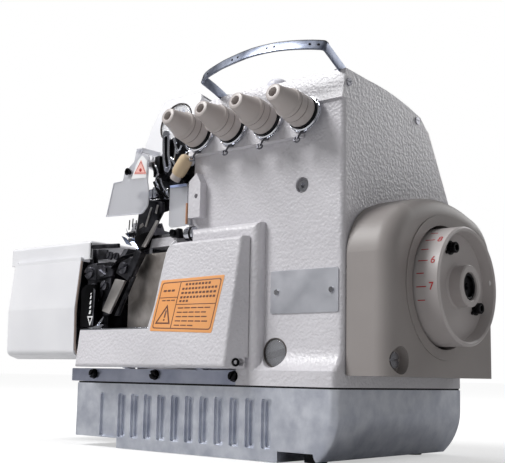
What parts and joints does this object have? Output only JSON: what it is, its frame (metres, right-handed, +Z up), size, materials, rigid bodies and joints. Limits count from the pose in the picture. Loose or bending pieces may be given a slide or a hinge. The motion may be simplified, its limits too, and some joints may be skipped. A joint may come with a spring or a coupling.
{
  "type": "serger overlock machine",
  "caption": "Industrial overlock sewing head: oil pan, cast frame with column, tension knobs, needle head, hinged looper cover, swing-out cloth plate, direct-drive motor cover and handwheel.",
  "frame": {"origin": "centre of the oil pan's underside, on the plane that the rubber feet stand on", "axes": "+X to the operator's right along the main shaft, -Y towards the operator, +Z up"},
  "size_m": [0.473, 0.2338, 0.3279],
  "materials": {
    "cast_aluminium": "as cast, brushed",
    "black_rubber": "matte",
    "hammer_paint": "hammer-finish enamel",
    "smooth_paint": "smooth enamel",
    "moulded_grey": "fine moulded texture",
    "cream_plastic": "satin moulded",
    "tan_plastic": "satin moulded",
    "chrome_plate": "polished plate",
    "bright_steel": "ground",
    "black_oxide": "black oxide",
    "blackened_iron": "blackened",
    "zinc_steel": "zinc plated",
    "bronze": "sintered",
    "clear_plastic": "clear moulded",
    "silver_plate": "satin anodised",
    "copper_winding": "enamelled wire on laminations"
  },
  "bodies": {
    "frame": {"chip_guard": "chrome_plate", "cloth_plate_pin": "bright_steel", "cover_screws": "bright_steel", "eye_guard_bracket": "bright_steel", "finger_guard": "clear_plastic", "head_cover": "smooth_paint", "hinge_rail": "zinc_steel", "hinge_rod": "bright_steel", "looper_guard": "blackened_iron", "lower_knife": "bright_steel", "main_frame": "hammer_paint", "motor_cover": "moulded_grey", "motor_stator": "copper_winding", "nameplate": "silver_plate", "nameplate_rivets": "bright_steel", "needle_bar_bush": "bronze", "needle_plate": "bright_steel", "oil_pan": "cast_aluminium", "oil_window_bezel": "smooth_paint", "pan_feet": "black_rubber", "pan_gasket": "black_rubber", "pivot_pins": "bright_steel", "rail_screws": "black_oxide", "shaft_bushes": "bronze", "sight_glasses": "clear_plastic", "tension_discs": "chrome_plate", "tension_studs": "bright_steel", "thread_guide_bar": "chrome_plate", "thread_guides": "chrome_plate", "top_cover": "hammer_paint"},
    "drive": {"main_shaft": "bright_steel", "motor_rotor": "bright_steel", "handwheel": "moulded_grey", "wheel_screws": "black_oxide"},
    "needle_unit": {"needle_bar": "bright_steel", "needle_clamp": "bright_steel", "needles": "chrome_plate"},
    "take_up": {"take_up_lever": "chrome_plate"},
    "upper_looper": {"upper_looper": "bright_steel"},
    "lower_looper": {"lower_looper": "bright_steel"},
    "knife": {"upper_knife_arm": "blackened_iron", "upper_knife": "bright_steel"},
    "feed": {"feed_dogs": "bright_steel"},
    "presser": {"presser_arm": "blackened_iron", "presser_foot": "bright_steel"},
    "lift": {"lift_lever": "black_oxide"},
    "release": {"release_lever": "black_oxide", "release_grip": "tan_plastic"},
    "carriage": {"cover_carriage": "bright_steel"},
    "looper_cover": {"front_cover": "hammer_paint"},
    "cloth_cover": {"cloth_plate": "smooth_paint"},
    "latch": {"latch_lever": "black_oxide"},
    "eye_shield": {"eye_guard": "clear_plastic"},
    "stitch_push": {"stitch_button": "chrome_plate"},
    "oil_filler": {"oil_cap": "clear_plastic"},
    "tension_1": {"tension_knob_1": "cream_plastic"},
    "tension_2": {"tension_knob_2": "cream_plastic"},
    "tension_3": {"tension_knob_3": "cream_plastic"},
    "tension_4": {"tension_knob_4": "cream_plastic"}
  },
  "joints": [
    {"name": "shaft_spin", "type": "hinge", "parent": "frame", "child": "drive", "pos_m": [0, -0.005, 0.138], "axis": [1, 0, 0], "continuous": true},
    {"name": "needle_stroke", "type": "slide", "parent": "frame", "child": "needle_unit", "axis": [0, 0.2419, 0.9703], "range_m": [-0.008, 0.012]},
    {"name": "take_up_swing", "type": "hinge", "parent": "frame", "child": "take_up", "pos_m": [-0.048, -0.08, 0.254], "axis": [0, 1, 0], "range_deg": [-8, 8]},
    {"name": "upper_looper_swing", "type": "hinge", "parent": "frame", "child": "upper_looper", "pos_m": [-0.057, -0.078, 0.15], "axis": [0, 1, 0], "range_deg": [-8, 8]},
    {"name": "lower_looper_swing", "type": "hinge", "parent": "frame", "child": "lower_looper", "pos_m": [-0.061, -0.082, 0.126], "axis": [0, 1, 0], "range_deg": [-8, 8]},
    {"name": "knife_swing", "type": "hinge", "parent": "frame", "child": "knife", "pos_m": [-0.097, -0.071, 0.176], "axis": [1, 0, 0], "range_deg": [-4, 4]},
    {"name": "feed_slide", "type": "slide", "parent": "frame", "child": "feed", "axis": [0, 1, 0], "range_m": [-0.0025, 0.0025]},
    {"name": "lift_turn", "type": "hinge", "parent": "frame", "child": "lift", "pos_m": [-0.028, 0.06, 0.222], "axis": [1, 0, 0], "range_deg": [0, 20], "stiffness_Nm_per_rad": 1, "springref_deg": -17.19},
    {"name": "presser_lift", "type": "hinge", "parent": "frame", "child": "presser", "pos_m": [-0.06, -0.03, 0.236], "axis": [-1, 0, 0], "range_deg": [0, 6]},
    {"name": "release_turn", "type": "hinge", "parent": "frame", "child": "release", "pos_m": [-0.02, -0.08, 0.239], "axis": [0, -1, 0], "range_deg": [0, 25], "stiffness_Nm_per_rad": 0.05, "springref_deg": -11.46},
    {"name": "carriage_slide", "type": "slide", "parent": "frame", "child": "carriage", "axis": [1, 0, 0], "range_m": [0, 0.008]},
    {"name": "front_cover_fold", "type": "hinge", "parent": "carriage", "child": "looper_cover", "pos_m": [-0.035, -0.104, 0.076], "axis": [1, 0, 0], "range_deg": [0, 58]},
    {"name": "cloth_plate_swing", "type": "hinge", "parent": "frame", "child": "cloth_cover", "pos_m": [-0.141, 0.062, 0.15], "axis": [0, 0, -1], "range_deg": [0, 95]},
    {"name": "latch_press", "type": "hinge", "parent": "frame", "child": "latch", "pos_m": [-0.128, -0.1002, 0.111], "axis": [1, 0, 0], "range_deg": [0, 15], "stiffness_Nm_per_rad": 0.05, "springref_deg": -17.19},
    {"name": "eye_guard_swing", "type": "hinge", "parent": "frame", "child": "eye_shield", "pos_m": [-0.0736, -0.1079, 0.2469], "axis": [0, 1, 0], "range_deg": [0, 70]},
    {"name": "stitch_button_push", "type": "slide", "parent": "frame", "child": "stitch_push", "axis": [1, 0, 0], "range_m": [0, 0.0035], "stiffness_N_per_m": 400, "springref_m": -0.001},
    {"name": "oil_cap_turn", "type": "hinge", "parent": "frame", "child": "oil_filler", "pos_m": [0.054, -0.052, 0.306], "axis": [0, 0, 1], "range_deg": [0, 360]},
    {"name": "tension_1_turn", "type": "hinge", "parent": "frame", "child": "tension_1", "pos_m": [0.002, -0.09189, 0.272], "axis": [0, -0.9781, 0.2079], "range_deg": [-720, 720]},
    {"name": "tension_2_turn", "type": "hinge", "parent": "frame", "child": "tension_2", "pos_m": [0.0403, -0.09189, 0.272], "axis": [0, -0.9781, 0.2079], "range_deg": [-720, 720]},
    {"name": "tension_3_turn", "type": "hinge", "parent": "frame", "child": "tension_3", "pos_m": [0.0786, -0.09189, 0.272], "axis": [0, -0.9781, 0.2079], "range_deg": [-720, 720]},
    {"name": "tension_4_turn", "type": "hinge", "parent": "frame", "child": "tension_4", "pos_m": [0.1169, -0.09189, 0.272], "axis": [0, -0.9781, 0.2079], "range_deg": [-720, 720]}
  ],
  "couplings": [
    {"joint": "take_up_swing", "follows": "needle_stroke", "rad_per_m": -11.539},
    {"joint": "upper_looper_swing", "follows": "needle_stroke", "rad_per_m": 11.539},
    {"joint": "lower_looper_swing", "follows": "needle_stroke", "rad_per_m": -11.539},
    {"joint": "knife_swing", "follows": "needle_stroke", "rad_per_m": -5.7697},
    {"joint": "feed_slide", "follows": "needle_stroke", "ratio": 0.2},
    {"joint": "presser_lift", "follows": "lift_turn", "ratio": 0.3}
  ]
}
